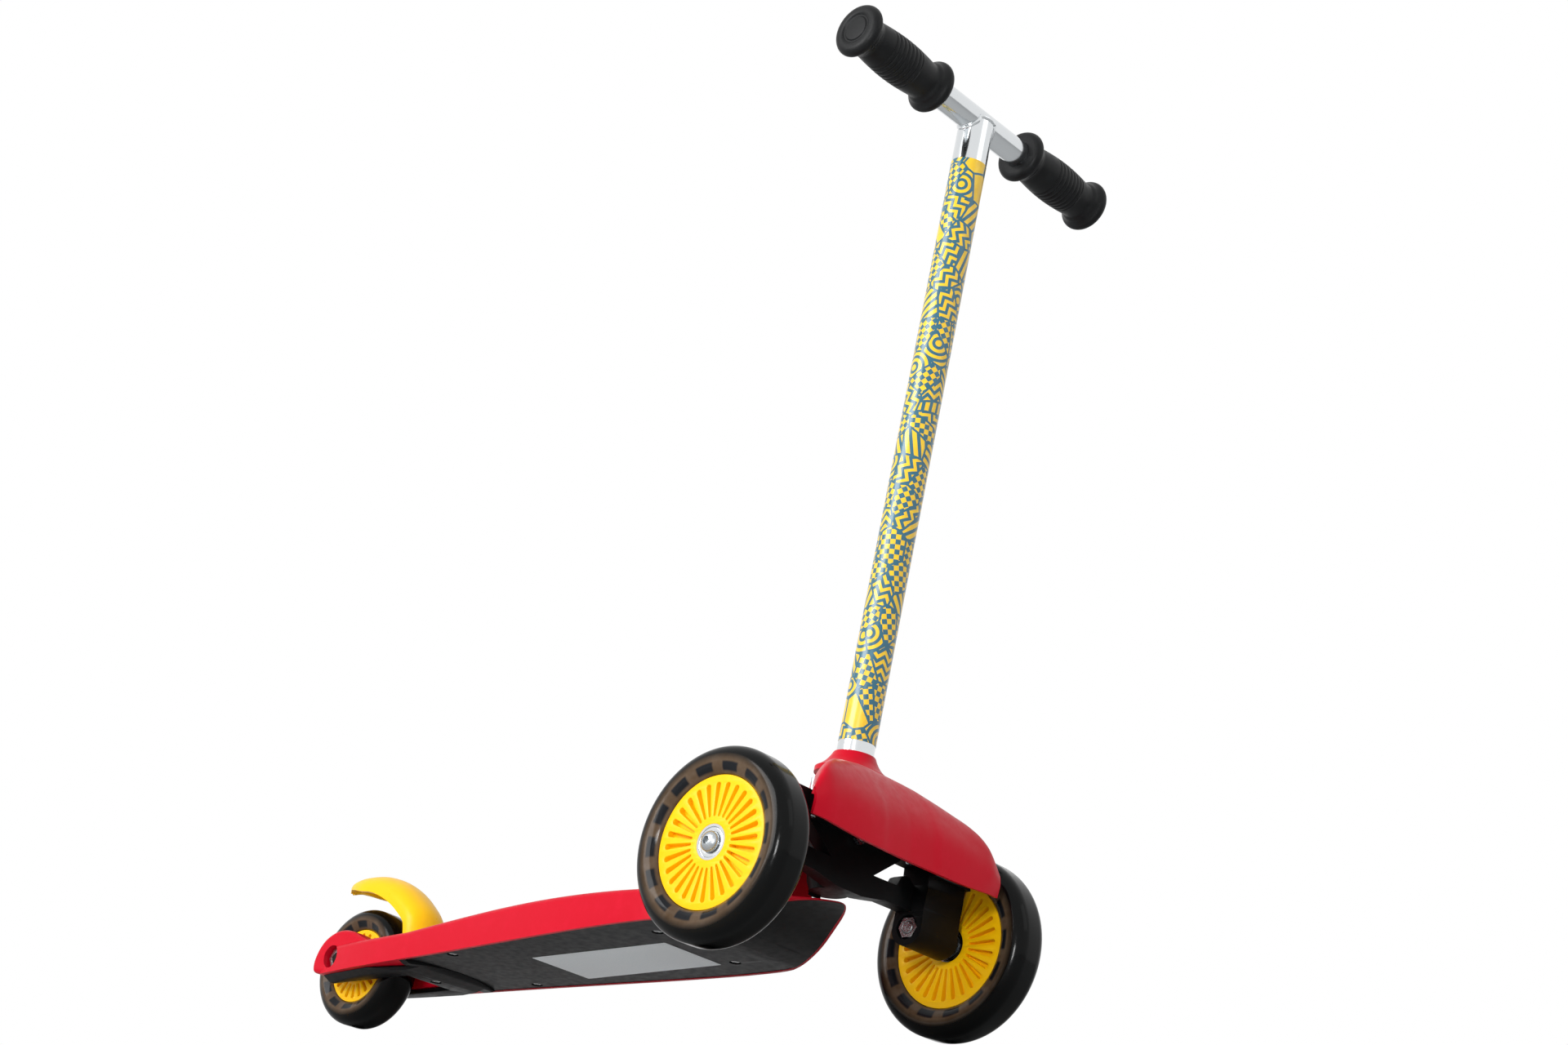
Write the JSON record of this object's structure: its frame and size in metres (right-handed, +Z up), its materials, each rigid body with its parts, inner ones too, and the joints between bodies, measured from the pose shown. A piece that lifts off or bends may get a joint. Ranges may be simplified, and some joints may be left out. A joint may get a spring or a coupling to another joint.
{
  "type": "three-wheel kick scooter",
  "caption": "Child's kick scooter with a T-shaped handlebar, two large steered wheels in front, a narrow deck and a small braked wheel behind.",
  "frame": {"origin": "on the ground, below the middle of the overall box, halfway between the front of the front tyres and the back of the rear tyre", "axes": "+X forward, +Y to the rider's left, +Z up"},
  "size_m": [0.545, 0.264, 0.6243],
  "materials": {
    "red_plastic": "moulded, satin gloss",
    "yellow_plastic": "moulded, satin gloss",
    "black_plastic": "moulded, satin",
    "grip_rubber": "moulded, matte",
    "smoky_tyre": "cast, smoky and glossy",
    "polished_tube": "polished",
    "zinc_steel": "zinc plated",
    "white_nylon": "moulded, satin"
  },
  "bodies": {
    "deck": {"deck": "red_plastic", "bottom_cover": "black_plastic", "deck_screw_1": "zinc_steel", "deck_screw_2": "zinc_steel", "deck_screw_3": "zinc_steel", "deck_screw_4": "zinc_steel", "deck_screw_5": "zinc_steel", "rear_axle_bolt": "zinc_steel", "rear_axle_nut": "zinc_steel", "rear_left_spacer": "zinc_steel", "rear_right_spacer": "zinc_steel", "rear_bearing_sleeve": "zinc_steel", "brake_pin": "zinc_steel", "brake_spring": "zinc_steel", "upper_head_bush": "white_nylon", "lower_head_bush": "white_nylon"},
    "steering": {"front_fork": "black_plastic", "head_cover": "red_plastic", "left_cover_screw": "zinc_steel", "right_cover_screw": "zinc_steel", "column_bolt": "zinc_steel", "column_nut": "zinc_steel", "steering_column": "polished_tube", "crossbar": "polished_tube", "left_grip": "grip_rubber", "right_grip": "grip_rubber", "left_axle_bolt": "zinc_steel", "left_axle_nut": "zinc_steel", "left_wheel_spacer": "zinc_steel", "left_bearing_sleeve": "zinc_steel", "right_axle_bolt": "zinc_steel", "right_axle_nut": "zinc_steel", "right_wheel_spacer": "zinc_steel", "right_bearing_sleeve": "zinc_steel"},
    "left_wheel": {"left_tyre": "smoky_tyre", "left_hub": "yellow_plastic", "left_outer_bearing": "zinc_steel", "left_inner_bearing": "zinc_steel"},
    "right_wheel": {"right_tyre": "smoky_tyre", "right_hub": "yellow_plastic", "right_outer_bearing": "zinc_steel", "right_inner_bearing": "zinc_steel"},
    "rear_wheel": {"rear_tyre": "smoky_tyre", "rear_hub": "yellow_plastic", "rear_outer_bearing": "zinc_steel", "rear_inner_bearing": "zinc_steel"},
    "brake": {"brake_fender": "yellow_plastic"}
  },
  "joints": [
    {"name": "steer", "type": "hinge", "parent": "deck", "child": "steering", "pos_m": [0.2006, 0, 0.1], "axis": [0.0872, 0, 0.9962], "range_deg": [-25, 25]},
    {"name": "left_wheel_spin", "type": "hinge", "parent": "steering", "child": "left_wheel", "pos_m": [0.2125, 0.1144, 0.06], "axis": [0, 1, 0], "continuous": true},
    {"name": "right_wheel_spin", "type": "hinge", "parent": "steering", "child": "right_wheel", "pos_m": [0.2125, -0.1144, 0.06], "axis": [0, 1, 0], "continuous": true},
    {"name": "rear_wheel_spin", "type": "hinge", "parent": "deck", "child": "rear_wheel", "pos_m": [-0.2305, 0, 0.042], "axis": [0, 1, 0], "continuous": true},
    {"name": "brake_press", "type": "hinge", "parent": "deck", "child": "brake", "pos_m": [-0.1705, 0, 0.045], "axis": [0, -1, 0], "range_deg": [0, 12], "stiffness_Nm_per_rad": 0.8, "springref_deg": -17.19}
  ]
}
